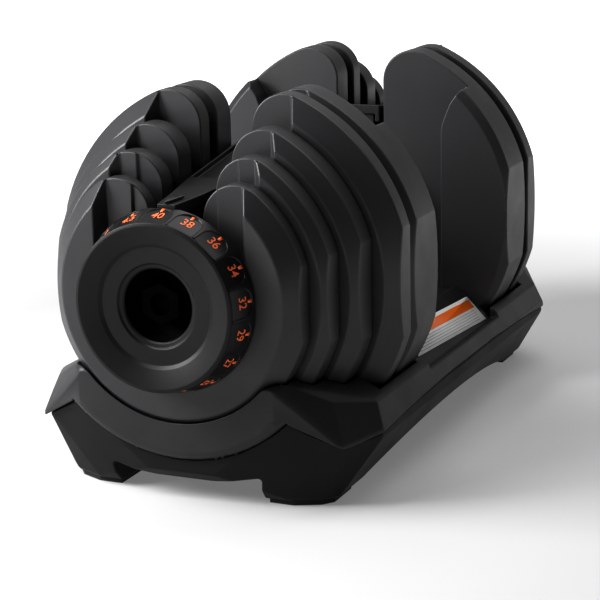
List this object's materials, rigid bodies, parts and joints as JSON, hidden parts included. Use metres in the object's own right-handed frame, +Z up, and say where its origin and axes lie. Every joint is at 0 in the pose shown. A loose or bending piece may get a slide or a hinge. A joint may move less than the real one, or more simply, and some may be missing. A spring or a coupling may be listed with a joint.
{
  "type": "adjustable dumbbell in its tray",
  "caption": "Dial-selected adjustable dumbbell with nested slotted weight plates, resting in a footed base tray.",
  "frame": {"origin": "middle of the tray on the ground", "axes": "+Z up, handle along Y with the front dial facing -Y, +X to the right when facing the front dial"},
  "size_m": [0.212, 0.436, 0.2197],
  "materials": {
    "plate_coat": "satin black moulded coating over steel",
    "tray_plastic": "fine-grained satin black",
    "base_plastic": "fine-grained matt black",
    "dial_plastic": "satin black",
    "ring_plastic": "satin black with orange figures",
    "bridge_plastic": "satin black",
    "rubber": "textured black",
    "steel": "turned",
    "zinc": "zinc die casting",
    "label": "satin paper label",
    "figure_paint": "printed orange figures",
    "gloss_plastic": "clear-coated black"
  },
  "bodies": {
    "tray": {"tray_base": "base_plastic", "tray_cradle": "tray_plastic", "tray_label": "label", "front_pad_a": "rubber", "front_pad_b": "rubber", "front_screw_a": "steel", "front_screw_b": "steel", "front_lock_post": "tray_plastic", "rear_pad_a": "rubber", "rear_pad_b": "rubber", "rear_screw_a": "steel", "rear_screw_b": "steel", "rear_lock_post": "tray_plastic"},
    "handle": {"grip": "rubber", "handle_tube": "steel", "spindle": "steel", "front_collar": "bridge_plastic", "front_bridge": "bridge_plastic", "front_pointer": "gloss_plastic", "front_nut": "steel", "rear_collar": "bridge_plastic", "rear_bridge": "bridge_plastic", "rear_pointer": "gloss_plastic", "rear_nut": "steel"},
    "front_selector": {"front_dial_knob": "dial_plastic", "front_dial_ring": "ring_plastic", "front_sleeve": "zinc", "front_disc_1": "zinc", "front_disc_2": "zinc", "front_disc_3": "zinc", "front_disc_4": "zinc", "front_disc_5": "zinc"},
    "front_lock": {"front_lock_pin": "steel"},
    "front_weight_1": {"front_plate_1": "plate_coat"},
    "front_weight_2": {"front_plate_2": "plate_coat"},
    "front_weight_3": {"front_plate_3": "plate_coat"},
    "front_weight_4": {"front_plate_4": "plate_coat"},
    "front_weight_5": {"front_plate_5": "plate_coat"},
    "rear_selector": {"rear_dial_knob": "dial_plastic", "rear_dial_ring": "ring_plastic", "rear_sleeve": "zinc", "rear_disc_1": "zinc", "rear_disc_2": "zinc", "rear_disc_3": "zinc", "rear_disc_4": "zinc", "rear_disc_5": "zinc"},
    "rear_lock": {"rear_lock_pin": "steel"},
    "rear_weight_1": {"rear_plate_1": "plate_coat"},
    "rear_weight_2": {"rear_plate_2": "plate_coat"},
    "rear_weight_3": {"rear_plate_3": "plate_coat"},
    "rear_weight_4": {"rear_plate_4": "plate_coat"},
    "rear_weight_5": {"rear_plate_5": "plate_coat"}
  },
  "joints": [
    {"name": "handle_lift", "type": "slide", "parent": "tray", "child": "handle", "axis": [0, 0, 1], "range_m": [0, 0.15]},
    {"name": "front_dial_turn", "type": "hinge", "parent": "handle", "child": "front_selector", "pos_m": [0, -0.2, 0.117], "axis": [0, 1, 0], "continuous": true},
    {"name": "front_lock_slide", "type": "slide", "parent": "handle", "child": "front_lock", "axis": [0, 0, -1], "range_m": [0, 0.006]},
    {"name": "front_weight_1_lift", "type": "slide", "parent": "tray", "child": "front_weight_1", "axis": [0, 0, 1], "range_m": [0, 0.15]},
    {"name": "front_weight_2_lift", "type": "slide", "parent": "tray", "child": "front_weight_2", "axis": [0, 0, 1], "range_m": [0, 0.15]},
    {"name": "front_weight_3_lift", "type": "slide", "parent": "tray", "child": "front_weight_3", "axis": [0, 0, 1], "range_m": [0, 0.15]},
    {"name": "front_weight_4_lift", "type": "slide", "parent": "tray", "child": "front_weight_4", "axis": [0, 0, 1], "range_m": [0, 0.15]},
    {"name": "front_weight_5_lift", "type": "slide", "parent": "tray", "child": "front_weight_5", "axis": [0, 0, 1], "range_m": [0, 0.15]},
    {"name": "rear_dial_turn", "type": "hinge", "parent": "handle", "child": "rear_selector", "pos_m": [0, 0.2, 0.117], "axis": [0, 1, 0], "continuous": true},
    {"name": "rear_lock_slide", "type": "slide", "parent": "handle", "child": "rear_lock", "axis": [0, 0, -1], "range_m": [0, 0.006]},
    {"name": "rear_weight_1_lift", "type": "slide", "parent": "tray", "child": "rear_weight_1", "axis": [0, 0, 1], "range_m": [0, 0.15]},
    {"name": "rear_weight_2_lift", "type": "slide", "parent": "tray", "child": "rear_weight_2", "axis": [0, 0, 1], "range_m": [0, 0.15]},
    {"name": "rear_weight_3_lift", "type": "slide", "parent": "tray", "child": "rear_weight_3", "axis": [0, 0, 1], "range_m": [0, 0.15]},
    {"name": "rear_weight_4_lift", "type": "slide", "parent": "tray", "child": "rear_weight_4", "axis": [0, 0, 1], "range_m": [0, 0.15]},
    {"name": "rear_weight_5_lift", "type": "slide", "parent": "tray", "child": "rear_weight_5", "axis": [0, 0, 1], "range_m": [0, 0.15]}
  ],
  "couplings": [
    {"joint": "front_lock_slide", "follows": "handle_lift", "ratio": 0.04},
    {"joint": "front_weight_1_lift", "follows": "handle_lift", "ratio": 1},
    {"joint": "front_weight_2_lift", "follows": "handle_lift", "ratio": 1},
    {"joint": "front_weight_3_lift", "follows": "handle_lift", "ratio": 1},
    {"joint": "front_weight_4_lift", "follows": "handle_lift", "ratio": 1},
    {"joint": "front_weight_5_lift", "follows": "handle_lift", "ratio": 1},
    {"joint": "rear_lock_slide", "follows": "handle_lift", "ratio": 0.04},
    {"joint": "rear_weight_1_lift", "follows": "handle_lift", "ratio": 1},
    {"joint": "rear_weight_2_lift", "follows": "handle_lift", "ratio": 1},
    {"joint": "rear_weight_3_lift", "follows": "handle_lift", "ratio": 1},
    {"joint": "rear_weight_4_lift", "follows": "handle_lift", "ratio": 1},
    {"joint": "rear_weight_5_lift", "follows": "handle_lift", "ratio": 1}
  ]
}
